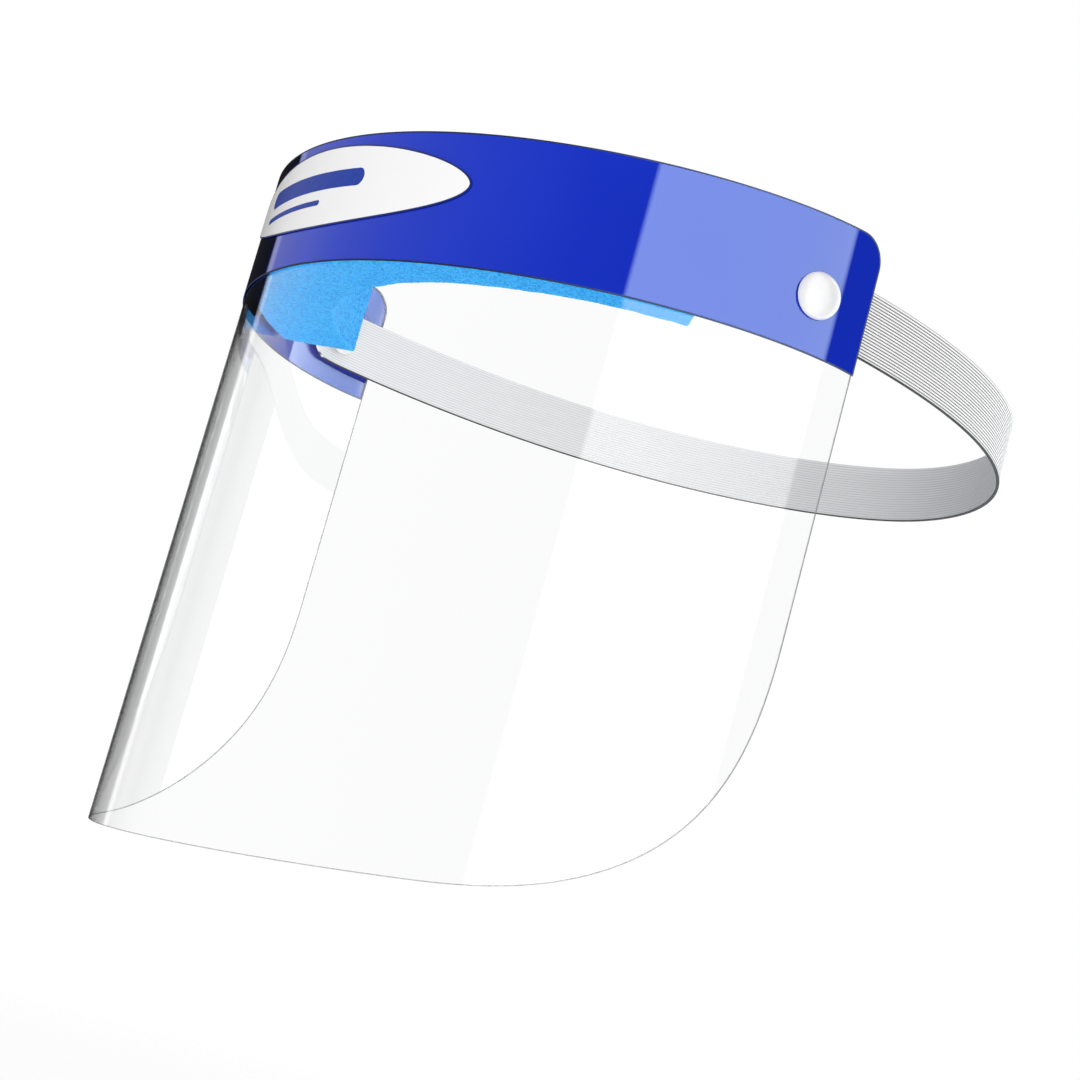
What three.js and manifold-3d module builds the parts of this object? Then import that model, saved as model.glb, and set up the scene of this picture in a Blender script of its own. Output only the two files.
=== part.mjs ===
// Face shield, worn upright: a clear sheet bent round the face, a blue brow band with an oval
// label, a foam forehead pad, and an elastic headband that swivels on two snap rivets.
// Millimetres. +Z is up, the wearer looks along -Y, and the wearer's left is +X.
// The origin is the centre of the foam pad's inner face, where the forehead rests.
import * as THREE from 'three';
import { mergeVertices } from 'three/addons/utils/BufferGeometryUtils.js';
import Module from 'manifold-3d';

const wasm = await Module();
wasm.setup();

// ---- Driving dimensions ----
const SHEET_LENGTH = 330; // along the bend, from side edge to side edge
const SHEET_HEIGHT = 197; // from the top edge to the lowest point at the front
const TOP_CORNER = 8; // radius of the sheet's top corners
const BOTTOM_CORNER = 81; // reach of the rounded bottom corners, both ways
const BOTTOM_CORNER_POWER = 2.7; // 2 is a circular corner, more is squarer
const BOTTOM_CROWN = 19.5; // how much higher the sides' ends are cut than the front's

const BEND_FRONT = 0.00846; // plan curvature per mm at the front centre
const BEND_DIP = -0.00233; // its change 100 mm along, to the second power
const BEND_SIDE = 0.00246; // its change 100 mm along, to the fourth power

const BAND_HEIGHT = 37;
const LABEL_HALF = { length: 56.8, height: 11.9 };
const LABEL_POWER = 1.9; // 2 is an ellipse, less is more pointed
const LABEL_CENTRE = -5.3; // its station: the label sits a little towards the wearer's right
const LABEL_DROP = 14.65; // label centre below the top edge
const LABEL_TIP = 0.999; // the oval ends just short of its points, on edges with some height

const FOAM = { length: 240, thickness: 25.5, height: 29 };
const FOAM_DROP = 18.5; // pad centre below the top edge
const TAPE = { length: 232, height: 23 };

const STRAP_WIDTH = 18;
const STRAP_DROP = 21.5; // strap and rivet centre below the top edge
const STRAP_BACK = 237; // from the front of the sheet to the back of the loop
const STRAP_HANDLES = { side: 108, back: 45 }; // how far the loop's curve pulls at either end
const STRAP_TURN_RADIUS = 25; // of the small arc that frees the strap from the sheet
const STRAP_HEADING = THREE.MathUtils.degToRad(89); // heading in plan where the arc ends
const RIVET_STATION = 148; // along the bend, from the front centre
const TAB_LENGTH = 12; // strap ahead of the rivet
const TAB_FOLLOW = 10; // how much of it follows the sheet before the arc

const CAP = { radius: 6.25, dome: 3.2, rim: 0.7, post: 1.8 };
const SOCKET = { radius: 5.4, collar: 3.6, bore: 2.15, flange: 1.0, height: 2.6 };
const POST_HOLE = 2.4; // radius of the holes that the post passes through

// Layers through the wall, as depths inwards from the middle of the sheet: [outer, inner].
const LAYER = {
  label: [-1.2, -1.05],
  band: [-0.75, -0.45],
  sheet: [-0.15, 0.15],
  tape: [0.45, 0.65],
  foam: [0.95, 0.95 + FOAM.thickness],
};
const STRAP_DEPTH = 1.65; // of the strap's middle, where it follows the sheet
const STRAP_LAYER = [-0.5, 0.5];
const CAP_SEAT = -1.05; // depth of the face that the cap rests with
const POST_END = 6.2;
const SOCKET_SEAT = 3.8;

const WALL_STEPS = 56; // facets along the sheet and the band
const FOAM_STEPS = 25; // odd, so that one facet is centred on the forehead
const LABEL_STEPS = 36;
const STRAP_STEPS = 96;
const STRAP_TIP_STEPS = 8; // of those, in each round tab end
const STRAP_TIP_FLAT = 0.8; // height of the short flat at the tip
const DOME_STEPS = 7;
const ROUND_STEPS = 28;

const HALF_SHEET = SHEET_LENGTH / 2;
const STEP = 0.25; // between the points of a route
const HOLE_LENGTH = 12; // of the cutter for the post holes, through all the layers

// ---- Routes in plan ----
// A route is a list of points a STEP apart, each with its heading, on the wearer's left. The wall's
// route is the middle of the sheet, from the front centre back. The sheet's curvature is a
// polynomial in the station s, and heading and position follow by integration.
function bendAt(s) {
  const t = s / 100;
  return BEND_FRONT + BEND_DIP * t ** 2 + BEND_SIDE * t ** 4;
}

function walk(start, length, bend) {
  const route = [start];
  for (let s = 0; s < length - STEP / 2; s += STEP) {
    const last = route[route.length - 1];
    const heading = last.heading + bend(s + STEP / 2) * STEP;
    const middle = (last.heading + heading) / 2;
    route.push({ x: last.x + Math.cos(middle) * STEP, y: last.y + Math.sin(middle) * STEP, heading });
  }
  return route;
}

function inset({ x, y, heading }, depth) {
  return { x: x - Math.sin(heading) * depth, y: y + Math.cos(heading) * depth, heading };
}

function routeAt(route, s) {
  const index = Math.min(s / STEP, route.length - 1);
  const low = Math.min(Math.floor(index), route.length - 2);
  const mix = (key) => THREE.MathUtils.lerp(route[low][key], route[low + 1][key], index - low);
  return { x: mix('x'), y: mix('y'), heading: mix('heading') };
}

const wallRoute = walk({ x: 0, y: 0, heading: 0 }, HALF_SHEET, bendAt);

// The strap's middle line: along the sheet's inside from the tab's tip to the rivet, round a small
// arc that frees it, then along a Bezier curve to the middle of the back.
function loopRoute() {
  const tab = [];
  for (let s = 0; s <= TAB_FOLLOW; s += STEP) {
    tab.push(inset(routeAt(wallRoute, RIVET_STATION - TAB_LENGTH + s), STRAP_DEPTH));
  }
  const leaving = tab[tab.length - 1];
  const turnLength = STRAP_TURN_RADIUS * (STRAP_HEADING - leaving.heading);
  const arc = walk(leaving, turnLength, () => 1 / STRAP_TURN_RADIUS).slice(1);
  const start = arc[arc.length - 1];
  const from = new THREE.Vector2(start.x, start.y);
  const along = new THREE.Vector2(Math.cos(start.heading), Math.sin(start.heading));
  const curve = new THREE.CubicBezierCurve(
    from,
    from.clone().addScaledVector(along, STRAP_HANDLES.side),
    new THREE.Vector2(STRAP_HANDLES.back, STRAP_BACK),
    new THREE.Vector2(0, STRAP_BACK),
  );
  curve.arcLengthDivisions = 1000;
  const count = Math.round(curve.getLength() / STEP);
  const loop = [];
  for (let i = 1; i <= count; i += 1) {
    const point = curve.getPointAt(i / count);
    const tangent = curve.getTangentAt(i / count);
    loop.push({ x: point.x, y: point.y, heading: Math.atan2(tangent.y, tangent.x) });
  }
  return [...tab, ...arc, ...loop];
}

// The origin lies on the foam's middle facet, at the pad's mid height.
const ORIGIN = {
  y: inset(routeAt(wallRoute, FOAM.length / FOAM_STEPS / 2), LAYER.foam[1]).y,
  z: -FOAM_DROP,
};

// A place on either side of the object: side is 1 on the wearer's left and -1 on the right.
function place(route, side, s, depth, drop) {
  const { x, y } = inset(routeAt(route, s), depth);
  return new THREE.Vector3(side * x, y - ORIGIN.y, -drop - ORIGIN.z);
}

// ---- Bent sheets ----
// Bends a box along a route and its mirror image: its length becomes stations, its thickness
// depths, its height drops between an upper and a lower outline. station(u) gives the side and the
// station for u in -1..1, and clusters the steps where the outline needs them. The outlines take
// the station and, where the two halves differ, the side.
function bentSheet({ route = wallRoute, steps, station, layer, upper, lower }) {
  const box = new THREE.BoxGeometry(2, 1, 1, steps, 1, 1);
  box.deleteAttribute('normal');
  box.deleteAttribute('uv');
  const geometry = mergeVertices(box);
  const position = geometry.getAttribute('position');
  for (let i = 0; i < position.count; i += 1) {
    const { side, s } = station(position.getX(i));
    const depth = position.getY(i) < 0 ? layer[0] : layer[1];
    const drop = position.getZ(i) > 0 ? upper(s, side) : lower(s, side);
    const point = place(route, side, s, depth, drop);
    position.setXYZ(i, point.x, point.y, point.z);
  }
  return geometry;
}

const evenSteps = (half) => (u) => ({ side: Math.sign(u), s: half * Math.abs(u) });
const endSteps = (half, centre = 0) => (u) => {
  const signed = centre + half * Math.sin((Math.PI / 2) * u);
  return { side: Math.sign(signed), s: Math.abs(signed) };
};

// Height lost at a rounded corner of a given reach, at a distance from the end of the outline.
function cornerLoss(distance, reach, power) {
  if (distance >= reach) return 0;
  const across = 1 - distance / reach;
  return reach * (1 - (1 - across ** power) ** (1 / power));
}

const topEdge = (s) => cornerLoss(HALF_SHEET - s, TOP_CORNER, 2);

function bottomEdge(s) {
  const loss = cornerLoss(HALF_SHEET - s, BOTTOM_CORNER, BOTTOM_CORNER_POWER);
  const drop = SHEET_HEIGHT - loss;
  return drop - BOTTOM_CROWN * (s / HALF_SHEET) ** 2 * (drop / SHEET_HEIGHT);
}

// ---- Cutting ----
function toSolid(geometry) {
  return new wasm.Manifold(new wasm.Mesh({
    numProp: 3,
    vertProperties: new Float32Array(geometry.getAttribute('position').array),
    triVerts: new Uint32Array(geometry.getIndex().array),
  }));
}

function toGeometry(solid) {
  const { vertProperties, triVerts } = solid.getMesh();
  const geometry = new THREE.BufferGeometry();
  geometry.setAttribute('position', new THREE.BufferAttribute(vertProperties, 3));
  geometry.setIndex(new THREE.BufferAttribute(triVerts, 1));
  geometry.computeVertexNormals();
  return geometry;
}

// Turns +Y to the outward direction of the wall at a rivet and moves the origin onto the wall.
function rivetPlace(side) {
  const { heading } = routeAt(wallRoute, RIVET_STATION);
  const outwards = new THREE.Vector3(side * Math.sin(heading), -Math.cos(heading), 0);
  const turn = new THREE.Quaternion().setFromUnitVectors(new THREE.Vector3(0, 1, 0), outwards);
  return { position: place(wallRoute, side, RIVET_STATION, 0, STRAP_DROP), turn };
}

function withPostHoles(geometry) {
  let solid = toSolid(geometry);
  for (const side of [1, -1]) {
    const { position, turn } = rivetPlace(side);
    const hole = new THREE.CylinderGeometry(POST_HOLE, POST_HOLE, HOLE_LENGTH, ROUND_STEPS);
    hole.deleteAttribute('normal');
    hole.deleteAttribute('uv');
    hole.applyQuaternion(turn).translate(position.x, position.y, position.z);
    solid = solid.subtract(toSolid(mergeVertices(hole)));
  }
  return toGeometry(solid);
}

// ---- The pieces ----
function visorSheet() {
  return withPostHoles(bentSheet({
    steps: WALL_STEPS,
    station: endSteps(HALF_SHEET),
    layer: LAYER.sheet,
    upper: topEdge,
    lower: bottomEdge,
  }));
}

function browBand() {
  return withPostHoles(bentSheet({
    steps: WALL_STEPS,
    station: endSteps(HALF_SHEET),
    layer: LAYER.band,
    upper: topEdge,
    lower: () => BAND_HEIGHT,
  }));
}

function browLabel() {
  const half = (s, side) => {
    const across = Math.abs(side * s - LABEL_CENTRE) / LABEL_HALF.length;
    return LABEL_HALF.height * (1 - across ** LABEL_POWER) ** (1 / LABEL_POWER);
  };
  return bentSheet({
    steps: LABEL_STEPS,
    station: endSteps(LABEL_HALF.length * LABEL_TIP, LABEL_CENTRE),
    layer: LAYER.label,
    upper: (s, side) => LABEL_DROP - half(s, side),
    lower: (s, side) => LABEL_DROP + half(s, side),
  });
}

function foamTape() {
  return bentSheet({
    steps: FOAM_STEPS,
    station: evenSteps(TAPE.length / 2),
    layer: LAYER.tape,
    upper: () => FOAM_DROP - TAPE.height / 2,
    lower: () => FOAM_DROP + TAPE.height / 2,
  });
}

function foreheadFoam() {
  return bentSheet({
    steps: FOAM_STEPS,
    station: evenSteps(FOAM.length / 2),
    layer: LAYER.foam,
    upper: () => FOAM_DROP - FOAM.height / 2,
    lower: () => FOAM_DROP + FOAM.height / 2,
  });
}

// The strap runs from the left tab's tip round the back to the right tab's. Each tip is a half
// circle with steps of its own, and the rest has even steps.
function headbandStrap() {
  const route = loopRoute();
  const halfWidth = STRAP_WIDTH / 2;
  const straight = (route.length - 1) * STEP - halfWidth;
  const tipShare = STRAP_TIP_STEPS / (STRAP_STEPS / 2);
  const station = (u) => {
    const side = u > 0 ? -1 : 1;
    const share = 1 - Math.abs(u);
    if (share >= tipShare) {
      return { side, s: halfWidth + straight * ((share - tipShare) / (1 - tipShare)) };
    }
    return { side, s: halfWidth * (1 - Math.cos((Math.PI / 2) * (share / tipShare))) };
  };
  const halfHeight = (s) => (
    Math.max(halfWidth - cornerLoss(s, halfWidth, 2), STRAP_TIP_FLAT / 2)
  );
  return withPostHoles(bentSheet({
    route,
    steps: STRAP_STEPS,
    station,
    layer: STRAP_LAYER,
    upper: (s) => STRAP_DROP - halfHeight(s),
    lower: (s) => STRAP_DROP + halfHeight(s),
  }));
}

// A domed cap with a post through the wall. +Y points outwards from the middle of the sheet.
function snapCap() {
  const seat = -CAP_SEAT;
  const profile = [
    new THREE.Vector2(0, -POST_END),
    new THREE.Vector2(CAP.post, -POST_END),
    new THREE.Vector2(CAP.post, seat),
    new THREE.Vector2(CAP.radius, seat),
  ];
  for (let i = 0; i < DOME_STEPS; i += 1) {
    const angle = (Math.PI / 2) * (i / DOME_STEPS);
    profile.push(new THREE.Vector2(
      CAP.radius * Math.cos(angle),
      seat + CAP.rim + (CAP.dome - CAP.rim) * Math.sin(angle),
    ));
  }
  profile.push(new THREE.Vector2(0, seat + CAP.dome));
  return new THREE.LatheGeometry(profile, ROUND_STEPS);
}

// The ring that grips the post, inside the strap: a flange against the strap and a collar.
function snapSocket() {
  const seat = -SOCKET_SEAT;
  const back = seat - SOCKET.height;
  const profile = [
    [SOCKET.bore, back],
    [SOCKET.collar, back],
    [SOCKET.collar, seat - SOCKET.flange],
    [SOCKET.radius, seat - SOCKET.flange],
    [SOCKET.radius, seat],
    [SOCKET.bore, seat],
    [SOCKET.bore, back],
  ].map(([radius, height]) => new THREE.Vector2(radius, height));
  return new THREE.LatheGeometry(profile, ROUND_STEPS);
}

// ---- Assembly ----
const MATERIAL = {
  clear: new THREE.MeshStandardMaterial({
    color: 0xe9eef2, roughness: 0.08, metalness: 0, transparent: true, opacity: 0.3,
  }),
  blueFilm: new THREE.MeshStandardMaterial({ color: 0x1a32c8, roughness: 0.12, metalness: 0 }),
  label: new THREE.MeshStandardMaterial({ color: 0xf7f7f9, roughness: 0.3, metalness: 0 }),
  tape: new THREE.MeshStandardMaterial({ color: 0xe4e2d8, roughness: 0.6, metalness: 0 }),
  foam: new THREE.MeshStandardMaterial({ color: 0x4fa9ee, roughness: 0.95, metalness: 0 }),
  elastic: new THREE.MeshStandardMaterial({ color: 0xf2f2f0, roughness: 0.9, metalness: 0 }),
  snap: new THREE.MeshStandardMaterial({ color: 0xf6f6f8, roughness: 0.35, metalness: 0 }),
};

const shield = new THREE.Group();

function add(name, geometry, material) {
  const mesh = new THREE.Mesh(geometry, material);
  mesh.name = name;
  shield.add(mesh);
  return mesh;
}

add('visor_sheet', visorSheet(), MATERIAL.clear);
add('brow_band', browBand(), MATERIAL.blueFilm);
add('brow_label', browLabel(), MATERIAL.label);
add('foam_tape', foamTape(), MATERIAL.tape);
add('forehead_foam', foreheadFoam(), MATERIAL.foam);
add('headband_strap', headbandStrap(), MATERIAL.elastic);

for (const [name, side] of [['left', 1], ['right', -1]]) {
  const { position, turn } = rivetPlace(side);
  for (const [piece, geometry] of [['snap_cap', snapCap()], ['snap_socket', snapSocket()]]) {
    const mesh = add(`${piece}_${name}`, geometry, MATERIAL.snap);
    mesh.position.copy(position);
    mesh.quaternion.copy(turn);
  }
}

export default shield;
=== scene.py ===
"""A face shield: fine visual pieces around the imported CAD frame, in metres, +Z up."""

import math

import bpy
import numpy as np
from mathutils import Matrix, Vector, kdtree, noise


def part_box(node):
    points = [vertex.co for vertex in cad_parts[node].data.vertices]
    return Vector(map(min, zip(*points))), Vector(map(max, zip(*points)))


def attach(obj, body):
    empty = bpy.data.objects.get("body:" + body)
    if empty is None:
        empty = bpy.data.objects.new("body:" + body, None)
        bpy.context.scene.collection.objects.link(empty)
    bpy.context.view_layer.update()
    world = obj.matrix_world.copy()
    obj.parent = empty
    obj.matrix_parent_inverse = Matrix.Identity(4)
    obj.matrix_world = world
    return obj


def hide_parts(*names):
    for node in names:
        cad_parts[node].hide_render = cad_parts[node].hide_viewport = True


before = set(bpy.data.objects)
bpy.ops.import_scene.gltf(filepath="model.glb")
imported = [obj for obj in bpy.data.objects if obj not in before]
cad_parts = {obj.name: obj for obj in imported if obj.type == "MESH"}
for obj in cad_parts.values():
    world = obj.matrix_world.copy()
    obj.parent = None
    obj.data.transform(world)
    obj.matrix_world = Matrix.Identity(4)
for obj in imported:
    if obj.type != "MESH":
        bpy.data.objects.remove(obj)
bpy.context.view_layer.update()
MM = 0.001

# ---- Driving dimensions, in millimetres, as in the CAD part ----
HALF_SHEET = 165.0
TOP_CORNER = 8.0
BOTTOM_CORNER = 81.0
BOTTOM_CORNER_POWER = 2.7
BOTTOM_CROWN = 19.5
BEND = (0.00846, -0.00233, 0.00246)  # plan curvature: front, and its changes 100 mm along
LABEL_HALF_LENGTH = 56.8
LABEL_POWER = 1.9
LABEL_CENTRE = -5.3
FOAM_LENGTH = 240.0
TAPE_LENGTH = 232.0
STRAP_BACK = 237.0
STRAP_PULL = (108.0, 45.0)
STRAP_TURN_RADIUS = 25.0
STRAP_HEADING = math.radians(89)
RIVET_STATION = 148.0
TAB_LENGTH = 12.0
TAB_FOLLOW = 10.0
STRAP_DEPTH = 1.65
STRAP_THICKNESS = 1.0
POST_HOLE = 2.4
LAYER = {
    "label": (-1.2, -1.05),
    "band": (-0.75, -0.45),
    "sheet": (-0.15, 0.15),
    "tape": (0.45, 0.65),
    "foam": (0.95, 26.45),
}
STEP = 0.25

# Places that the frame gives.
SHEET_LOW, SHEET_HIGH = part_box("visor_sheet")
TOP_Z = SHEET_HIGH.z / MM
FRONT_Y = SHEET_LOW.y / MM - LAYER["sheet"][0]
SHEET_HEIGHT = TOP_Z - SHEET_LOW.z / MM


def drops(node):
    """The upper and lower edge of a CAD node, as millimetres below the top edge."""
    low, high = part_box(node)
    return TOP_Z - high.z / MM, TOP_Z - low.z / MM


BAND_HEIGHT = drops("brow_band")[1]
LABEL_TOP, LABEL_BOTTOM = drops("brow_label")
LABEL_DROP = (LABEL_TOP + LABEL_BOTTOM) / 2
STRAP_TOP, STRAP_BOTTOM = drops("headband_strap")
STRAP_DROP = (STRAP_TOP + STRAP_BOTTOM) / 2
STRAP_HALF = (STRAP_BOTTOM - STRAP_TOP) / 2


# ---- Routes in plan: arrays of x, y and heading, a STEP apart, on the wearer's left ----
def walk(x, y, heading, length, bend):
    points = [(x, y, heading)]
    for i in range(round(length / STEP)):
        turn = bend((i + 0.5) * STEP) * STEP
        x += math.cos(heading + turn / 2) * STEP
        y += math.sin(heading + turn / 2) * STEP
        heading += turn
        points.append((x, y, heading))
    return np.array(points)


def sheet_bend(s):
    t = s / 100
    return BEND[0] + BEND[1] * t**2 + BEND[2] * t**4


def at(route, s):
    stations = np.arange(len(route)) * STEP
    return [np.interp(s, stations, route[:, k]) for k in range(3)]


def inset(route, s, depth):
    x, y, heading = at(route, s)
    return x - np.sin(heading) * depth, y + np.cos(heading) * depth, heading


def bend_onto(route, s, depth, drop):
    """Points in metres for stations s (negative on the wearer's right), depths and drops."""
    s, depth, drop = np.broadcast_arrays(s, depth, drop)
    x, y, _ = inset(route, np.abs(s), depth)
    side = np.where(s < 0, -1.0, 1.0)
    return np.stack([side * x, y + FRONT_Y, TOP_Z - drop], -1) * MM


WALL = walk(0, 0, 0, HALF_SHEET, sheet_bend)


def strap_route():
    """The strap's middle line, from the tab's tip to the middle of the back."""
    tab_s = RIVET_STATION - TAB_LENGTH + np.arange(0, TAB_FOLLOW + STEP / 2, STEP)
    tab = np.stack(inset(WALL, tab_s, STRAP_DEPTH), -1)
    arc_length = STRAP_TURN_RADIUS * (STRAP_HEADING - tab[-1, 2])
    arc = walk(*tab[-1], arc_length, lambda s: 1 / STRAP_TURN_RADIUS)[1:]
    start = arc[-1]
    along = np.array([math.cos(start[2]), math.sin(start[2])])
    ends = [start[:2], start[:2] + along * STRAP_PULL[0]]
    ends += [np.array([STRAP_PULL[1], STRAP_BACK]), np.array([0, STRAP_BACK])]
    t = np.linspace(0, 1, 2000)[:, None]
    curve = sum(
        math.comb(3, k) * (1 - t) ** (3 - k) * t**k * ends[k] for k in range(4)
    )
    length = np.concatenate([[0], np.cumsum(np.hypot(*np.diff(curve, axis=0).T))])
    even = np.linspace(0, length[-1], round(length[-1] / STEP) + 1)
    xy = np.stack([np.interp(even, length, curve[:, k]) for k in range(2)], -1)
    tangent = np.gradient(xy, axis=0)
    loop = np.column_stack([xy, np.arctan2(tangent[:, 1], tangent[:, 0])])
    loop[-1, 2] = math.pi
    return np.concatenate([tab, arc, loop[1:]])


# ---- Outlines: drops below the top edge at a station ----
def corner_loss(distance, reach, power):
    across = np.clip(1 - np.asarray(distance) / reach, 0, 1)
    return reach * (1 - (1 - across**power) ** (1 / power))


def top_edge(s):
    return corner_loss(HALF_SHEET - np.abs(s), TOP_CORNER, 2)


def bottom_edge(s):
    loss = corner_loss(HALF_SHEET - np.abs(s), BOTTOM_CORNER, BOTTOM_CORNER_POWER)
    drop = SHEET_HEIGHT - loss
    return drop - BOTTOM_CROWN * (s / HALF_SHEET) ** 2 * (drop / SHEET_HEIGHT)


def label_half(s):
    half_height = (LABEL_BOTTOM - LABEL_TOP) / 2
    across = np.clip(np.abs(s - LABEL_CENTRE) / LABEL_HALF_LENGTH, 0, 1)
    return half_height * (1 - across**LABEL_POWER) ** (1 / LABEL_POWER)


# ---- Mesh making ----
SHARP_ANGLE = math.radians(40)


def new_object(name, points, faces, materials, face_slots=None, attributes=None, uv=None):
    mesh = bpy.data.meshes.new(name)
    mesh.from_pydata(np.asarray(points).tolist(), [], faces)
    for material in materials:
        mesh.materials.append(material)
    if face_slots is not None:
        mesh.polygons.foreach_set("material_index", np.asarray(face_slots, np.int32))
    for key, values in (attributes or {}).items():
        layer = mesh.attributes.new(key, "FLOAT", "POINT")
        layer.data.foreach_set("value", np.asarray(values, np.float32))
    if uv is not None:
        corners = np.empty(len(mesh.loops), np.int32)
        mesh.loops.foreach_get("vertex_index", corners)
        layer = mesh.uv_layers.new(name="UVMap")
        layer.data.foreach_set("uv", np.asarray(uv, np.float32)[corners].ravel())
    mesh.polygons.foreach_set("use_smooth", [True] * len(mesh.polygons))
    mesh.set_sharp_from_angle(angle=SHARP_ANGLE)
    mesh.validate()
    piece = bpy.data.objects.new(name, mesh)
    bpy.context.scene.collection.objects.link(piece)
    return piece


def shell_faces(columns, rows):
    """Faces of a closed shell from two grids, outer then inner, each columns x rows.
    The slots are 0 on the two sheets and 1 on the rim."""
    outer = np.arange(columns * rows).reshape(columns, rows)
    inner = outer + columns * rows
    faces, slots = [], []

    def quads(a, b, c, d, slot):
        block = np.stack([a.ravel(), b.ravel(), c.ravel(), d.ravel()], -1).tolist()
        faces.extend(block)
        slots.extend([slot] * len(block))

    quads(outer[:-1, 1:], outer[1:, 1:], outer[1:, :-1], outer[:-1, :-1], 0)
    quads(inner[:-1, :-1], inner[1:, :-1], inner[1:, 1:], inner[:-1, 1:], 0)
    quads(outer[:-1, 0], outer[1:, 0], inner[1:, 0], inner[:-1, 0], 1)
    quads(inner[:-1, -1], inner[1:, -1], outer[1:, -1], outer[:-1, -1], 1)
    quads(outer[0, :-1], inner[0, :-1], inner[0, 1:], outer[0, 1:], 1)
    quads(outer[-1, 1:], inner[-1, 1:], inner[-1, :-1], outer[-1, :-1], 1)
    return faces, slots


def bent_shell(name, stations, rows, layer, upper, lower, materials, line=0.0):
    """A thin closed sheet on the wall, between two outlines; row 0 is the top. The attribute
    "margin" is the distance to its outline in mm, with rows of points a line's width inside it."""
    s = np.asarray(stations, float)
    high, low = upper(s)[:, None], lower(s)[:, None]
    rim = np.minimum(line, (low - high) / 4)
    share = np.linspace(0, 1, rows - 2)[None, :]
    inside = high + rim + (low - high - 2 * rim) * share
    drop = np.concatenate([high, inside, low], 1)
    grid_s = np.broadcast_to(s[:, None], drop.shape)
    sides = [bend_onto(WALL, grid_s, depth, drop).reshape(-1, 3) for depth in layer]
    faces, slots = shell_faces(len(s), rows)
    flat = np.stack([grid_s.ravel(), drop.ravel()], -1)
    attributes = {"margin": np.tile(outline_distance(flat, s, high[:, 0], low[:, 0]), 2)}
    uv = np.tile(flat * MM, (2, 1))
    return new_object(name, np.concatenate(sides), faces, materials, slots, attributes, uv)


OUTLINE_SPACING = 0.1  # of the marks that distances to an outline are taken from


def outline_distance(points, s, high, low):
    """Distances from flat points to the closed outline between two edges."""
    loop = np.concatenate([np.stack([s, high], -1), np.stack([s, low], -1)[::-1]])
    loop = np.concatenate([loop, loop[:1]])
    length = np.concatenate([[0], np.cumsum(np.hypot(*np.diff(loop, axis=0).T))])
    even = np.arange(0, length[-1], OUTLINE_SPACING)
    tree = kdtree.KDTree(len(even))
    for i, mark in enumerate(even):
        spot = [np.interp(mark, length, loop[:, k]) for k in range(2)]
        tree.insert((*spot, 0), i)
    tree.balance()
    return np.array([tree.find((u, v, 0))[2] for u, v in points])


def end_stations(half, count):
    """Stations from -half to half that crowd towards the ends."""
    return half * np.sin(np.linspace(-math.pi / 2, math.pi / 2, count))


def lathe(name, profile, segments, place, materials):
    """Turns a profile of (radius, height) round the place's own Z axis."""
    points, faces = [], []
    turns = np.linspace(0, 2 * math.pi, segments, endpoint=False)
    closed = profile[0] == profile[-1]
    ring_profile = profile[:-1] if closed else profile
    rings = []
    for radius, height in ring_profile:
        if radius < 1e-6:
            rings.append([len(points)] * segments)
            points.append((0, 0, height * MM))
            continue
        rings.append(list(range(len(points), len(points) + segments)))
        reach = radius * MM
        points += [(reach * math.cos(a), reach * math.sin(a), height * MM) for a in turns]
    pairs = list(zip(rings, rings[1:] + ([rings[0]] if closed else [])))
    for low, high in pairs if closed else pairs[: len(rings) - 1]:
        for i in range(segments):
            j = (i + 1) % segments
            corner = [low[i], low[j], high[j], high[i]]
            face = list(dict.fromkeys(corner))
            if len(face) > 2:
                faces.append(face)
    placed = [place @ Vector(p) for p in points]
    return new_object(name, placed, faces, materials)


# ---- Rivets ----
CUTTER_REACH = 8.0  # each way from the sheet's middle
CUTTER_SIDES = 48


def rivet_place(side):
    """A matrix whose Z points outwards from the middle of the sheet at a rivet."""
    heading = float(at(WALL, RIVET_STATION)[2])
    outwards = Vector((side * math.sin(heading), -math.cos(heading), 0))
    spot = Vector(bend_onto(WALL, side * RIVET_STATION, 0, STRAP_DROP))
    return Matrix.Translation(spot) @ outwards.to_track_quat("Z", "Y").to_matrix().to_4x4()


def cut_post_holes(piece):
    """Cuts the holes that the rivets' posts pass through."""
    cutters = []
    profile = [(0, -CUTTER_REACH), (POST_HOLE, -CUTTER_REACH)]
    profile += [(POST_HOLE, CUTTER_REACH), (0, CUTTER_REACH)]
    for side in (1, -1):
        cutters.append(lathe("cutter", profile, CUTTER_SIDES, rivet_place(side), []))
        cut = piece.modifiers.new("hole", "BOOLEAN")
        cut.operation, cut.solver, cut.object = "DIFFERENCE", "EXACT", cutters[-1]
    graph = bpy.context.evaluated_depsgraph_get()
    mesh = bpy.data.meshes.new_from_object(piece.evaluated_get(graph))
    piece.modifiers.clear()
    piece.data = mesh
    for cutter in cutters:
        bpy.data.objects.remove(cutter)


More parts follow.
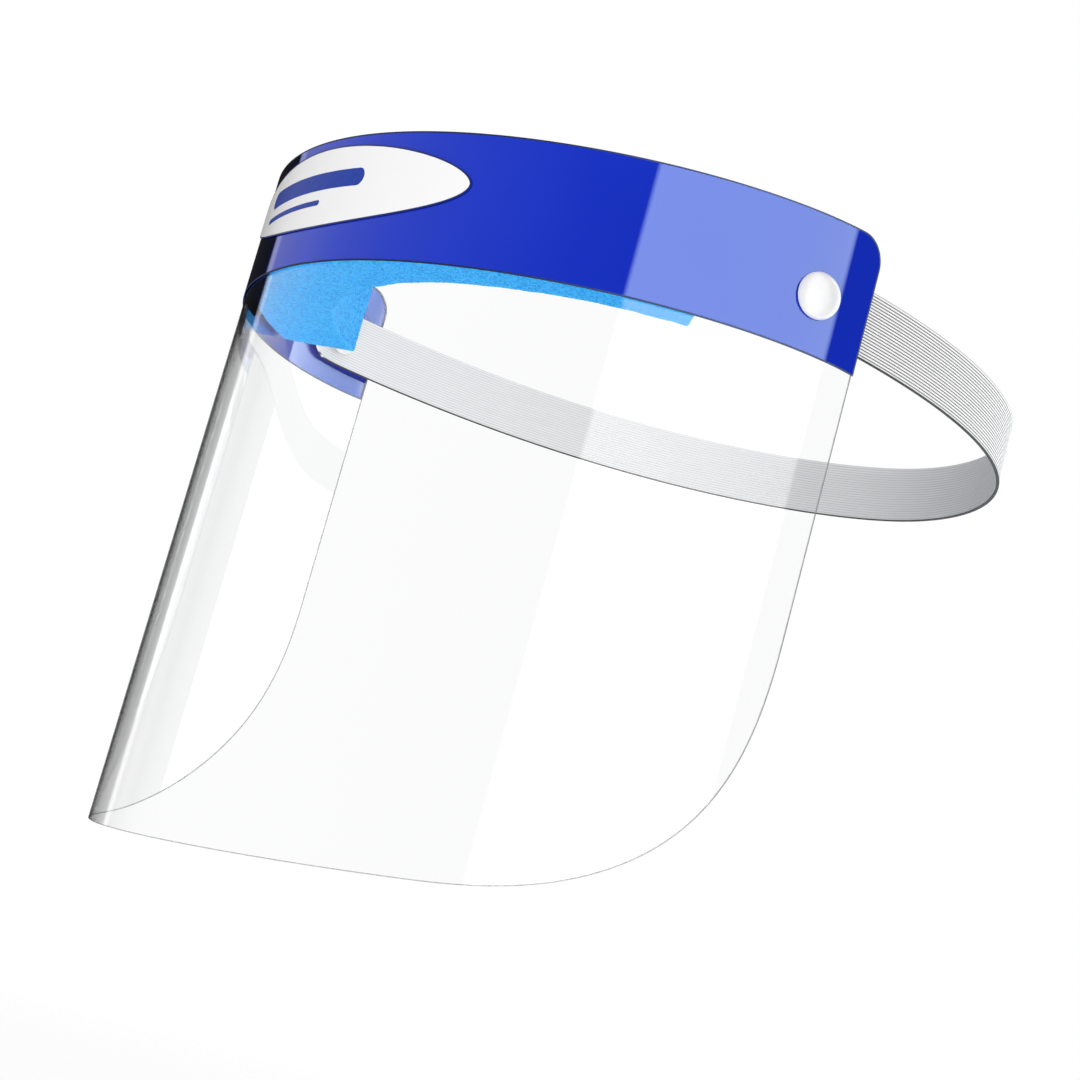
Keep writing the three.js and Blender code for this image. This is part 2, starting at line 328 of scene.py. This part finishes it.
# ---- Materials ----
class Nodes:
    """A material's node tree with short calls for its nodes."""

    def __init__(self, name):
        self.material = bpy.data.materials.new(name)
        self.material.use_nodes = True
        self.tree = self.material.node_tree
        self.tree.nodes.clear()
        self.output = self.tree.nodes.new("ShaderNodeOutputMaterial")

    def add(self, kind, inputs=None, **settings):
        node = self.tree.nodes.new("ShaderNode" + kind)
        for key, value in settings.items():
            setattr(node, key, value)
        for key, value in (inputs or {}).items():
            socket = node.inputs[key]
            if isinstance(value, bpy.types.NodeSocket):
                self.tree.links.new(value, socket)
            elif isinstance(value, tuple) and len(value) == 3 and socket.type == "RGBA":
                socket.default_value = (*value, 1)
            else:
                socket.default_value = value
        return node

    def math(self, operation, *values):
        inputs = dict(enumerate(values))
        return self.add("Math", inputs, operation=operation).outputs[0]

    def mix(self, factor, a, b):
        node = self.add("Mix", {0: factor, 6: a, 7: b}, data_type="RGBA")
        return node.outputs[2]

    def spread(self, value, low, high, to_low=0.0, to_high=1.0):
        inputs = {"Value": value, "From Min": low, "From Max": high}
        inputs.update({"To Min": to_low, "To Max": to_high})
        return self.add("MapRange", inputs).outputs[0]

    def coords(self, kind="Object"):
        return self.add("TexCoord").outputs[kind]

    def noise(self, scale, detail=2.0, vector=None, roughness=0.5):
        inputs = {"Scale": scale, "Detail": detail, "Roughness": roughness}
        inputs["Vector"] = vector or self.coords()
        return self.add("TexNoise", inputs).outputs[0]

    def border(self, width):
        """1 in the outermost strip of a sheet, of a width in mm, and 0 inside it."""
        margin = self.add("Attribute", attribute_name="margin").outputs["Fac"]
        return self.spread(margin, width * 1.1, width * 0.9)

    def bump(self, height, distance, strength=1.0):
        inputs = {"Height": height, "Distance": distance, "Strength": strength}
        return self.add("Bump", inputs).outputs[0]

    def finish(self, shader):
        self.tree.links.new(shader, self.output.inputs[0])
        return self.material


EDGE_ON = (0.72, 0.76)  # how far a film turns from the eye before painted shade makes it dark: start and end
# The clear sheet gets the same painted shade by the right temple, just below the band: its
# see-through colour turns dark navy where it is nearly edge-on.
PAINTED_SHADE_DROP = 12.0  # how far below the band the painted shade reaches
PAINTED_SHADE_SPOT, PAINTED_SHADE_REACH = -46.0, 29.0  # where the painted shade lies across the face: the middle, and each way from it
FACE_ON_MIRROR, EDGE_ON_MIRROR = 0.018, 0.97  # the clear sheet's reflection, and what is added
CUT_LINE = 0.28  # width of the line along the clear sheet's cut edge
DARK_LINE = 0.45  # width of the line round the band and the label


def clear_film():
    """Clear polyester sheet: it shows what is behind it and mirrors more where it is edge-on; by
    the right temple it has painted shade.
    """
    n = Nodes("clear_film")
    facing = n.add("LayerWeight", {"Blend": 0.5}).outputs["Facing"]
    steep = n.math("POWER", facing, 5.0)
    mirror = n.math("MULTIPLY_ADD", steep, EDGE_ON_MIRROR, FACE_ON_MIRROR)
    handling = n.noise(160.0, 4.0)
    rough = n.spread(handling, 0.35, 0.75, 0.006, 0.02)
    gloss = n.add("BsdfGlossy", {"Color": (1, 1, 1), "Roughness": rough})
    # Painted shade: a dark navy see-through colour just below the band by the right temple, where
    # the sheet is nearly edge-on.
    spot = n.add("SeparateXYZ", {0: n.coords()})
    reach = n.spread(facing, EDGE_ON[1], 1.0, PAINTED_SHADE_DROP * MM, 0.0)
    level = n.math("ADD", spot.outputs["Z"], reach)
    under_band = n.math("GREATER_THAN", level, (TOP_Z - BAND_HEIGHT) * MM)
    temple = n.math("COMPARE", spot.outputs["X"], PAINTED_SHADE_SPOT * MM, PAINTED_SHADE_REACH * MM)
    painted_shade = n.math("MULTIPLY", under_band, n.spread(facing, *EDGE_ON))
    painted_shade = n.math("MULTIPLY", painted_shade, temple)
    clear = n.mix(painted_shade, (0.997, 0.998, 0.999), (0.05, 0.07, 0.15))
    through = n.add("BsdfTransparent", {"Color": clear})
    film = n.add("MixShader", {0: mirror, 1: through.outputs[0], 2: gloss.outputs[0]})
    cut = n.add("BsdfDiffuse", {"Color": (0.30, 0.31, 0.32)})
    nick = n.noise(700.0, 2.0)
    line = n.math("MULTIPLY", n.border(CUT_LINE), n.spread(nick, 0.3, 0.7, 0.30, 0.55))
    mix = n.add("MixShader", {0: line, 1: film.outputs[0], 2: cut.outputs[0]})
    return n.finish(mix.outputs[0])


def film_edge():
    """The cut edge of the clear sheet, which gathers light and looks grey."""
    n = Nodes("film_edge")
    grain = n.noise(900.0, 2.0)
    colour = n.mix(grain, (0.30, 0.32, 0.33), (0.42, 0.44, 0.45))
    body = n.add("BsdfPrincipled", {"Base Color": colour, "Roughness": 0.35})
    return n.finish(body.outputs[0])


def blue_film():
    """Glossy blue film, deep blue, with painted shade that turns it nearly black where it is seen
    edge-on.
    """
    n = Nodes("blue_film")
    tint = n.noise(25.0, 2.0)
    colour = n.mix(tint, (0.005, 0.022, 0.44), (0.008, 0.030, 0.50))
    facing = n.add("LayerWeight", {"Blend": 0.5}).outputs["Facing"]
    # Painted shade: the colour turns nearly black as the film turns edge-on to the eye.
    colour = n.mix(n.spread(facing, *EDGE_ON), colour, (0.001, 0.0015, 0.012))
    edge = n.border(DARK_LINE)
    colour = n.mix(edge, colour, (0.0015, 0.003, 0.03))
    scuffs = n.noise(220.0, 5.0)
    rough = n.spread(scuffs, 0.35, 0.8, 0.008, 0.025)
    rough = n.math("MULTIPLY_ADD", edge, 0.6, rough)
    inputs = {"Base Color": colour, "Roughness": rough, "IOR": 1.72}
    inputs["Specular Tint"] = (0.57, 0.76, 0.95)
    body = n.add("BsdfPrincipled", inputs)
    return n.finish(body.outputs[0])


def blue_edge():
    """The cut edges of the blue film."""
    n = Nodes("blue_film_edge")
    colour = n.mix(n.noise(900.0, 2.0), (0.002, 0.005, 0.05), (0.005, 0.01, 0.10))
    inputs = {"Base Color": colour, "Roughness": 0.4, "Specular IOR Level": 0.1}
    return n.finish(n.add("BsdfPrincipled", inputs).outputs[0])


def white_label():
    """Smooth white label with a dark printed line round it."""
    n = Nodes("white_label")
    colour = n.mix(n.noise(120.0, 3.0), (0.82, 0.82, 0.82), (0.84, 0.84, 0.84))
    colour = n.mix(n.border(DARK_LINE), colour, (0.008, 0.014, 0.11))
    rough = n.spread(n.noise(300.0, 3.0), 0.3, 0.7, 0.29, 0.33)
    grain = n.bump(n.noise(1500.0, 2.0), 0.000004)
    inputs = {"Base Color": colour, "Roughness": rough, "Normal": grain}
    return n.finish(n.add("BsdfPrincipled", inputs).outputs[0])


def navy_ink():
    """Printed bars on the label, and the label's cut edge."""
    n = Nodes("navy_ink")
    colour = n.mix(n.noise(700.0, 3.0), (0.012, 0.035, 0.26), (0.02, 0.055, 0.36))
    inputs = {"Base Color": colour, "Roughness": 0.35, "Specular IOR Level": 0.15}
    return n.finish(n.add("BsdfPrincipled", inputs).outputs[0])


def foam_sponge():
    """Fine open sponge: pale blue cell walls round small pores, darkened with painted shade."""
    n = Nodes("foam_sponge")
    spot = n.coords()
    cells = n.add("TexVoronoi", {"Scale": 1500.0, "Vector": spot}).outputs["Distance"]
    coarse = n.add("TexVoronoi", {"Scale": 800.0, "Vector": spot}).outputs["Distance"]
    patches = n.noise(90.0, 3.0)
    grain = n.noise(2800.0, 2.0)
    pores = n.math("MULTIPLY", cells, coarse)
    wall = n.mix(patches, (0.028, 0.43, 1.0), (0.06, 0.51, 1.0))
    # Painted shade in the pores: a darker blue than the cell walls.
    pore = n.mix(patches, (0.006, 0.17, 0.65), (0.010, 0.23, 0.73))
    depth = n.spread(n.math("ADD", pores, grain), 0.42, 0.82)
    colour = n.mix(depth, pore, wall)
    height = n.math("ADD", depth, n.math("MULTIPLY", coarse, 0.5))
    inputs = {"Base Color": colour, "Roughness": 0.95, "Specular IOR Level": 0.15}
    inputs["Normal"] = n.bump(height, 0.00018, 0.8)
    inputs.update({"Subsurface Weight": 0.15, "Subsurface Scale": 0.001})
    return n.finish(n.add("BsdfPrincipled", inputs).outputs[0])


def woven(name, threads, groove_shades, stretch, relief):
    """Knitted elastic: lengthwise cords, painted shade in the grooves between them, and painted
    shade along its lower edge, where the edge face lies in shadow. Threads and groove shades are
    pairs of colours, stretch is the knots' density along and across in each metre, and relief is
    how deep the knots are in metres."""
    n = Nodes(name)
    groove = n.add("Attribute", attribute_name="groove").outputs["Fac"]
    lower = n.add("Attribute", attribute_name="lower_edge_shade").outputs["Fac"]
    uv = n.coords("UV")
    along = n.add("Mapping", {"Vector": uv, "Scale": (*stretch, 1.0)}).outputs[0]
    knots = n.noise(1.0, 2.0, along)
    fuzz = n.noise(2600.0, 2.0)
    thread = n.mix(n.spread(knots, 0.3, 0.7), *threads)
    groove_shade = n.mix(fuzz, *groove_shades)
    # Painted shade in the grooves between the cords: the groove colours are darker than the
    # threads.
    colour = n.mix(n.spread(groove, 0.20, 0.75), thread, groove_shade)
    # Painted shade: near black along the lower edge, where the edge face lies in shadow.
    colour = n.mix(lower, colour, (0.012, 0.012, 0.014))
    height = n.math("ADD", n.math("MULTIPLY", knots, 0.7), n.math("MULTIPLY", fuzz, 0.3))
    inputs = {"Base Color": colour, "Roughness": 0.85, "Specular IOR Level": 0.2}
    inputs.update({"Sheen Weight": 0.08, "Sheen Roughness": 0.5})
    inputs["Normal"] = n.bump(height, relief)
    return n.finish(n.add("BsdfPrincipled", inputs).outputs[0])


def elastic():
    """The strap's outer side."""
    return woven(
        "elastic", ((0.89, 0.89, 0.885), (0.95, 0.95, 0.95)),
        # The second pair is painted shade for the grooves.
        ((0.08, 0.08, 0.083), (0.16, 0.16, 0.165)), (900.0, 1300.0), 0.00008,
    )


def elastic_back():
    """The side next to the head, with flat unbleached backing threads."""
    return woven(
        "elastic_back", ((0.86, 0.855, 0.84), (0.92, 0.915, 0.90)),
        # The second pair is painted shade for the grooves.
        ((0.67, 0.665, 0.655), (0.74, 0.735, 0.725)), (60.0, 2600.0), 0.00003,
    )


def snap_plastic():
    """Moulded white plastic of the caps and sockets."""
    n = Nodes("snap_plastic")
    colour = n.mix(n.noise(180.0, 2.0), (0.75, 0.755, 0.76), (0.80, 0.805, 0.81))
    rough = n.spread(n.noise(500.0, 3.0), 0.3, 0.7, 0.26, 0.38)
    grain = n.bump(n.noise(1200.0, 2.0), 0.00001)
    inputs = {"Base Color": colour, "Roughness": rough, "Normal": grain}
    inputs.update({"Subsurface Weight": 0.15, "Subsurface Scale": 0.002})
    return n.finish(n.add("BsdfPrincipled", inputs).outputs[0])


def tape_paper():
    """Fibrous double-sided tape."""
    n = Nodes("tape_paper")
    fibres = n.add("Mapping", {"Vector": n.coords("UV"), "Scale": (400.0, 2600.0, 1.0)})
    weave = n.noise(1.0, 3.0, fibres.outputs[0])
    colour = n.mix(weave, (0.70, 0.69, 0.62), (0.84, 0.83, 0.77))
    inputs = {"Base Color": colour, "Roughness": 0.7, "Normal": n.bump(weave, 0.00003)}
    return n.finish(n.add("BsdfPrincipled", inputs).outputs[0])


MATERIAL = {
    make.__name__: make()
    for make in (
        clear_film, film_edge, blue_film, blue_edge, white_label, navy_ink,
        foam_sponge, elastic, elastic_back, snap_plastic, tape_paper,
    )
}


# ---- The shield's sheets ----
SHEET_COLUMNS = 281


def visor():
    piece = bent_shell(
        "visor_film", end_stations(HALF_SHEET, SHEET_COLUMNS), 63, LAYER["sheet"],
        top_edge, bottom_edge, [MATERIAL["clear_film"], MATERIAL["film_edge"]], line=0.35,
    )
    cut_post_holes(piece)
    return piece


def band():
    piece = bent_shell(
        "band_film", end_stations(HALF_SHEET, SHEET_COLUMNS), 27, LAYER["band"], top_edge,
        lambda s: np.full(len(s), BAND_HEIGHT),
        [MATERIAL["blue_film"], MATERIAL["blue_edge"]], line=0.5,
    )
    cut_post_holes(piece)
    return piece


LABEL_TIP = 0.9995
INK_LAYER = (LAYER["label"][0] - 0.04, LAYER["label"][0] + 0.03)
# Printed bars: the ends' stations, the middle's height above the label's centre, half height
BARS = {"bar_upper": (-41.0, 14.0, 1.9, 2.6), "bar_lower": (-41.0, -4.0, -4.4, 0.8)}


def label():
    stations = LABEL_CENTRE + end_stations(LABEL_HALF_LENGTH * LABEL_TIP, 201)
    return bent_shell(
        "oval_label", stations, 41, LAYER["label"],
        lambda s: LABEL_DROP - label_half(s), lambda s: LABEL_DROP + label_half(s),
        [MATERIAL["white_label"], MATERIAL["navy_ink"]], line=0.5,
    )


def printed_bar(name):
    """A plain printed bar with round ends, where a maker would print a name."""
    start, end, rise, half = BARS[name]

    def reach(s):
        return np.maximum(half - corner_loss(np.minimum(s - start, end - s), half, 2), 0.02)

    stations = (start + end) / 2 + end_stations((end - start) / 2, 121)
    middle = LABEL_DROP - rise
    return bent_shell(
        name, stations, 9, INK_LAYER, lambda s: middle - reach(s), lambda s: middle + reach(s),
        [MATERIAL["navy_ink"], MATERIAL["navy_ink"]],
    )


def foam_tape():
    top, bottom = drops("foam_tape")
    return bent_shell(
        "pad_tape", np.linspace(-TAPE_LENGTH / 2, TAPE_LENGTH / 2, 121), 7, LAYER["tape"],
        lambda s: np.full(len(s), top), lambda s: np.full(len(s), bottom),
        [MATERIAL["tape_paper"], MATERIAL["tape_paper"]],
    )


# ---- The foam pad ----
FOAM_CELL = 0.62  # spacing of the pad's surface points
FOAM_ROUND = 1.1  # radius of its worn edges
FOAM_SINK = 0.1  # how far its whole skin lies inside the CAD block
HOLLOWS = {"scale": 0.09, "swing": 0.25, "middle": 0.2}
PORES = {"scale": 0.62, "reach": 0.42, "depth": 0.32}


def block_lattice(counts):
    """Surface points of a block of unit cells and the quads between them, facing out."""
    index, cells, faces = {}, [], []

    def corner(*cell):
        if cell not in index:
            index[cell] = len(cells)
            cells.append(cell)
        return index[cell]

    for axis in range(3):
        u, v = (axis + 1) % 3, (axis + 2) % 3
        for end in (0, counts[axis]):
            for i in range(counts[u]):
                for j in range(counts[v]):
                    quad = []
                    for du, dv in ((0, 0), (1, 0), (1, 1), (0, 1)):
                        cell = [0, 0, 0]
                        cell[axis], cell[u], cell[v] = end, i + du, j + dv
                        quad.append(corner(*cell))
                    faces.append(quad if end else quad[::-1])
    return np.array(cells, float), faces


def foam_pad():
    top, bottom = drops("forehead_foam")
    size = np.array([FOAM_LENGTH, LAYER["foam"][1] - LAYER["foam"][0], bottom - top])
    counts = np.round(size / FOAM_CELL).astype(int)
    cells, faces = block_lattice(counts.tolist())
    half = size / 2
    p = cells / counts * size - half
    core = np.clip(p, -(half - FOAM_ROUND), half - FOAM_ROUND)
    out = p - core
    length = np.maximum(np.linalg.norm(out, axis=1, keepdims=True), 1e-9)
    normal = out / length
    p = core + normal * FOAM_ROUND
    lift = np.array([foam_relief(q) for q in p])
    p = p - normal * (lift[:, None] + FOAM_SINK)
    # x runs along the route, y inwards, z up
    points = bend_onto(
        WALL, p[:, 0], p[:, 1] + (LAYER["foam"][0] + LAYER["foam"][1]) / 2,
        (top + bottom) / 2 - p[:, 2],
    )
    return new_object("foam_cushion", points, faces, [MATERIAL["foam_sponge"]])


def foam_relief(q):
    """How far the pad's skin lies below its outer form, in mm: soft hollows and open pores."""
    spot = Vector(q)
    soft = noise.noise(spot * HOLLOWS["scale"]) * HOLLOWS["swing"] + HOLLOWS["middle"]
    near = noise.voronoi(spot * PORES["scale"])[0][0]
    pore = max(0.0, PORES["reach"] - near) / PORES["reach"]
    return max(0.0, soft) + PORES["depth"] * pore


# ---- The strap ----
RIBS = 22
ROWS_PER_RIB = 5
RIB_DEPTH = 0.14
BACK_RELIEF = 0.2  # how deep the ribs are on the side next to the head, beside the outer ones
STRAP_SPACING = 1.5
SELVEDGE = 0.3  # width of the thinner edge
SELVEDGE_DENT = 0.3  # how deep it lies, as a share of a groove's depth
STRAP_INSET = 0.02  # between the ribs' crests and the CAD solid's face
EDGE_SHADE_WIDTH = 0.36  # width of the painted shade along the lower edge, where the edge face lies in shadow


def strap():
    """The ribbed loop from tab to tab, its left half mirrored onto the right."""
    route = strap_route()
    total = (len(route) - 1) * STEP
    tip = STRAP_HALF * (1 - np.cos(np.linspace(0, math.pi / 2, 12)))
    body = np.linspace(STRAP_HALF, total, round((total - STRAP_HALF) / STRAP_SPACING))[1:]
    one_side = np.concatenate([tip, body])
    rows = RIBS * ROWS_PER_RIB + 1
    half = np.maximum(STRAP_HALF - corner_loss(one_side, STRAP_HALF, 2), 0.05)
    signed = [(1.0, s, h) for s, h in zip(one_side, half)]
    signed += [(-1.0, s, h) for s, h in zip(one_side[-2::-1], half[-2::-1])]
    side, s, h = (np.array(v) for v in zip(*signed))
    across = np.linspace(-1, 1, rows)
    level = h[:, None] * across[None, :]  # millimetres below the strap's middle
    rib = (level / STRAP_HALF + 1) / 2 * RIBS
    groove = np.abs(np.cos(np.pi * rib)) ** 4
    margin = np.abs(level) > STRAP_HALF - SELVEDGE
    dent = np.where(margin, SELVEDGE_DENT, groove) * RIB_DEPTH
    points = []
    for depth in (-1, 1):
        relief = dent if depth < 0 else dent * BACK_RELIEF
        offset = depth * (STRAP_THICKNESS / 2 - STRAP_INSET - relief)
        wide_s = np.broadcast_to(s[:, None], level.shape)
        p = bend_onto(route, wide_s, offset, STRAP_DROP + level)
        p[..., 0] *= side[:, None]
        points.append(p.reshape(-1, 3))
    faces, slots = shell_faces(len(s), rows)
    along = np.where(side > 0, s, 2 * total - s)
    uv = np.stack([np.broadcast_to(along[:, None], level.shape).ravel(), level.ravel()], -1) * MM
    # Painted shade along the lower edge: 1 in its last strip.
    lower = np.clip((level - (STRAP_HALF - EDGE_SHADE_WIDTH)) / 0.1, 0, 1)
    attributes = {
        "groove": np.tile(groove.ravel(), 2),
        "lower_edge_shade": np.tile(lower.ravel(), 2),
    }
    sheet = (len(s) - 1) * (rows - 1)
    slots[sheet:2 * sheet] = [1] * sheet
    slots[2 * sheet:] = [0] * (len(slots) - 2 * sheet)
    return new_object(
        "elastic_strap", np.concatenate(points), faces,
        [MATERIAL["elastic"], MATERIAL["elastic_back"]], slots, attributes, np.tile(uv, (2, 1)),
    )


# ---- Caps and sockets: heights are outwards from the sheet's middle ----
CAP = {"seat": 0.78, "top": 4.25, "rim": 0.35, "radius": 6.25, "corner": 0.25}
POST = {"radius": 1.8, "tip": -6.2}
SOCKET = {"seat": -3.8, "height": 2.6, "flange": 1.0, "bore": 2.15, "barrel": 3.6, "radius": 5.4}
CHAMFER, SMALL_CHAMFER = 0.3, 0.2
TURNED_SIDES = 72
DOME_STEPS = 18


def cap(side):
    seat, radius, corner = CAP["seat"], CAP["radius"], CAP["corner"]
    profile = [(0, POST["tip"]), (POST["radius"], POST["tip"]), (POST["radius"], seat)]
    profile += [(radius - corner, seat), (radius, seat + corner)]
    for i in range(DOME_STEPS + 1):
        angle = math.pi / 2 * i / DOME_STEPS
        height = seat + CAP["rim"] + (CAP["top"] - seat - CAP["rim"]) * math.sin(angle)
        profile.append((radius * math.cos(angle) if i < DOME_STEPS else 0, height))
    name = "cap_left" if side > 0 else "cap_right"
    return lathe(name, profile, TURNED_SIDES, rivet_place(side), [MATERIAL["snap_plastic"]])


def socket(side):
    seat, bore, barrel, radius = (SOCKET[key] for key in ("seat", "bore", "barrel", "radius"))
    back = seat - SOCKET["height"]
    ledge = seat - SOCKET["flange"]
    profile = [
        (bore, back + CHAMFER), (bore + CHAMFER, back),
        (barrel - CHAMFER, back), (barrel, back + CHAMFER),
        (barrel, ledge - SMALL_CHAMFER), (barrel + SMALL_CHAMFER, ledge),
        (radius - CHAMFER, ledge), (radius, ledge + CHAMFER),
        (radius, seat - SMALL_CHAMFER), (radius - SMALL_CHAMFER, seat),
        (bore, seat), (bore, back + CHAMFER),
    ]
    name = "socket_left" if side > 0 else "socket_right"
    return lathe(name, profile, TURNED_SIDES, rivet_place(side), [MATERIAL["snap_plastic"]])


# ---- Assembly ----
def place(piece, body, node, slot):
    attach(piece, body)
    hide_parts(node)
    return piece


place(visor(), "shield", "visor_sheet", "clear_film")
place(band(), "shield", "brow_band", "blue_film")
place(label(), "shield", "brow_label", "white_label")
for bar in BARS:
    bar_piece = printed_bar(bar)
    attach(bar_piece, "shield")
place(foam_tape(), "shield", "foam_tape", "tape")
place(foam_pad(), "shield", "forehead_foam", "foam")
strap_piece = strap()
cut_post_holes(strap_piece)
place(strap_piece, "headband", "headband_strap", "elastic")
for side, word in ((1, "left"), (-1, "right")):
    place(cap(side), "shield", "snap_cap_" + word, "snap_plastic")
    place(socket(side), "shield", "snap_socket_" + word, "snap_plastic")


# ---- Stage ----
FLOOR_DROP = 0.14  # metres below the sheet's lowest edge
FLOOR_RADIUS = 2.4  # in metres
FLOOR_SIDES = 96


def floor():
    """A pale disc that fades out at its rim. It stays out of the gloss and casts no shade."""
    n = Nodes("pale_floor")
    spot = n.coords()
    distance = n.add("VectorMath", {0: spot}, operation="LENGTH").outputs["Value"]
    matte = n.add("BsdfDiffuse", {"Color": (0.80, 0.80, 0.80)})
    lift = n.add("Emission", {"Color": (1, 1, 1), "Strength": 0.42})
    lit = n.add("AddShader", {0: matte.outputs[0], 1: lift.outputs[0]})
    clear = n.add("BsdfTransparent")
    fade = n.spread(distance, FLOOR_RADIUS * 0.5, FLOOR_RADIUS * 0.98)
    mix = n.add("MixShader", {0: fade, 1: lit.outputs[0], 2: clear.outputs[0]})
    material = n.finish(mix.outputs[0])
    z = SHEET_LOW.z - FLOOR_DROP
    turns = np.linspace(0, 2 * math.pi, FLOOR_SIDES, endpoint=False)
    points = [(FLOOR_RADIUS * math.cos(a), FLOOR_RADIUS * math.sin(a), z) for a in turns]
    piece = new_object("floor", points, [list(range(FLOOR_SIDES))], [material])
    piece.visible_diffuse = piece.visible_glossy = piece.visible_shadow = False


# The studio round the object, as seen in its gloss: brightness at compass angles from the
# front centre (0) through the wearer's left (90). Close pairs of angles are a card's edges.
STUDIO = [
    (-180, 0.5), (-168, 0.5), (-160, 1.0), (-134, 1.0), (-124, 0.3), (-116, 0.02), (-88.5, 0.02),
    (-87, 1.0), (-84.5, 1.0), (-83, 0.55), (-63, 0.68), (-40, 0.54), (-9, 0.30), (24, 0.08),
    (40, 0.06), (40.3, 4.8), (118, 4.8), (118.3, 0.03), (142, 0.03), (165, 0.4), (180, 0.5),
]
STUDIO_PEAK = 5.0
# The same for matte surfaces, which get the most from the wearer's left and from behind.
SOFT = [
    (-180, 1.15), (-150, 1.00), (-125, 0.40), (-110, 0.12), (-75, 0.16), (-30, 0.36), (0, 0.43),
    (60, 0.90), (100, 1.00), (140, 0.90), (180, 1.15),
]
SOFT_PEAK = 1.2


def studio_world():
    """White to the camera, and a ring of light of its own for gloss and for matte surfaces."""
    world = bpy.data.worlds.new("studio")
    bpy.context.scene.world = world
    world.use_nodes = True
    tree = world.node_tree
    tree.nodes.clear()

    def add(kind, **settings):
        node = tree.nodes.new("ShaderNode" + kind)
        for key, value in settings.items():
            setattr(node, key, value)
        return node

    def link(a, b):
        tree.links.new(a, b)

    direction = add("SeparateXYZ")
    link(add("TexCoord").outputs["Generated"], direction.inputs[0])
    flip = add("Math", operation="MULTIPLY")
    flip.inputs[1].default_value = -1
    link(direction.outputs[1], flip.inputs[0])
    angle = add("Math", operation="ARCTAN2")
    link(direction.outputs[0], angle.inputs[0])
    link(flip.outputs[0], angle.inputs[1])
    share = add("MapRange")
    share.inputs["From Min"].default_value = -math.pi
    share.inputs["From Max"].default_value = math.pi
    link(angle.outputs[0], share.inputs["Value"])

    def ring(table, peak):
        ramp = add("ValToRGB")
        stops = ramp.color_ramp.elements
        while len(stops) < len(table):
            stops.new(0.5)
        for stop, (degrees, brightness) in zip(stops, table):
            stop.position = (degrees + 180) / 360
            stop.color = (*[brightness / peak] * 3, 1)
        link(share.outputs[0], ramp.inputs[0])
        light = add("Background")
        light.inputs["Strength"].default_value = peak
        link(ramp.outputs[0], light.inputs["Color"])
        return light

    path = add("LightPath")
    shown = [ring(SOFT, SOFT_PEAK), ring(STUDIO, STUDIO_PEAK), add("Background")]
    shown[2].inputs["Color"].default_value = (1, 1, 1, 1)
    gloss = add("MixShader")
    link(path.outputs["Is Glossy Ray"], gloss.inputs[0])
    link(shown[0].outputs[0], gloss.inputs[1])
    link(shown[1].outputs[0], gloss.inputs[2])
    camera = add("MixShader")
    link(path.outputs["Is Camera Ray"], camera.inputs[0])
    link(gloss.outputs[0], camera.inputs[1])
    link(shown[2].outputs[0], camera.inputs[2])
    link(camera.outputs[0], add("OutputWorld").inputs[0])


def soft_light(name, azimuth, elevation, distance, size, power):
    """An area light that looks at the object, and that only matte surfaces show."""
    light = bpy.data.lights.new(name, "AREA")
    light.shape, light.size, light.size_y, light.energy = "RECTANGLE", *size, power
    lamp = bpy.data.objects.new(name, light)
    a, e = math.radians(azimuth), math.radians(elevation)
    back = Vector((math.sin(a) * math.cos(e), -math.cos(a) * math.cos(e), math.sin(e)))
    lamp.location = back * distance
    lamp.rotation_euler = back.to_track_quat("Z", "Y").to_euler()
    lamp.visible_camera = lamp.visible_glossy = False
    bpy.context.scene.collection.objects.link(lamp)


# The camera stands in front of the wearer's left, below the brow, and leans to one side.
CAMERA = {"azimuth": 53.625, "elevation": -10.388, "roll": 15.3692, "lens": 84.747}
CAMERA_PLACE = Vector((585.54, -359.04, -197.86)) * MM


def camera():
    a, e = math.radians(CAMERA["azimuth"]), math.radians(CAMERA["elevation"])
    back = Vector((math.sin(a) * math.cos(e), -math.cos(a) * math.cos(e), math.sin(e)))
    right = Vector((math.cos(a), math.sin(a), 0))
    up = back.cross(right)
    r = math.radians(CAMERA["roll"])
    right, up = right * math.cos(r) + up * math.sin(r), up * math.cos(r) - right * math.sin(r)
    data = bpy.data.cameras.new("camera")
    data.lens = CAMERA["lens"]
    eye = bpy.data.objects.new("camera", data)
    turn = Matrix((right, up, back)).transposed().to_4x4()
    eye.matrix_world = Matrix.Translation(CAMERA_PLACE) @ turn
    bpy.context.scene.collection.objects.link(eye)
    bpy.context.scene.camera = eye


# A pale card behind the object, in metres
BACK_CARD = {"left": -0.086, "right": 0.195, "low": -0.40, "high": 0.30, "behind": 0.235}
BACK_CARD_COLOUR = (0.85, 0.96, 1.0)
BACK_CARD_BRIGHTNESS = 3.4


def back_card():
    """The card shows only in the gloss, and lights up the sheet's inner faces."""
    left, right, low, high, behind = BACK_CARD.values()
    light = bpy.data.lights.new("back_card", "AREA")
    light.shape, light.size, light.size_y = "RECTANGLE", right - left, high - low
    light.energy = BACK_CARD_BRIGHTNESS * math.pi * light.size * light.size_y
    light.color = BACK_CARD_COLOUR
    card = bpy.data.objects.new("back_card", light)
    card.location = ((left + right) / 2, behind, (low + high) / 2)
    card.rotation_euler = (-math.pi / 2, 0, 0)
    card.visible_camera = card.visible_diffuse = False
    bpy.context.scene.collection.objects.link(card)


floor()
studio_world()
back_card()
soft_light("side_key", 105, 45, 1.8, (1.0, 0.8), 2.5)
soft_light("under_fill", 54, -80, 1.2, (0.8, 0.8), 6)
soft_light("front_key", 10, 2, 0.62, (0.3, 0.08), 1.9)
camera()
bpy.context.scene.view_settings.view_transform = "Standard"
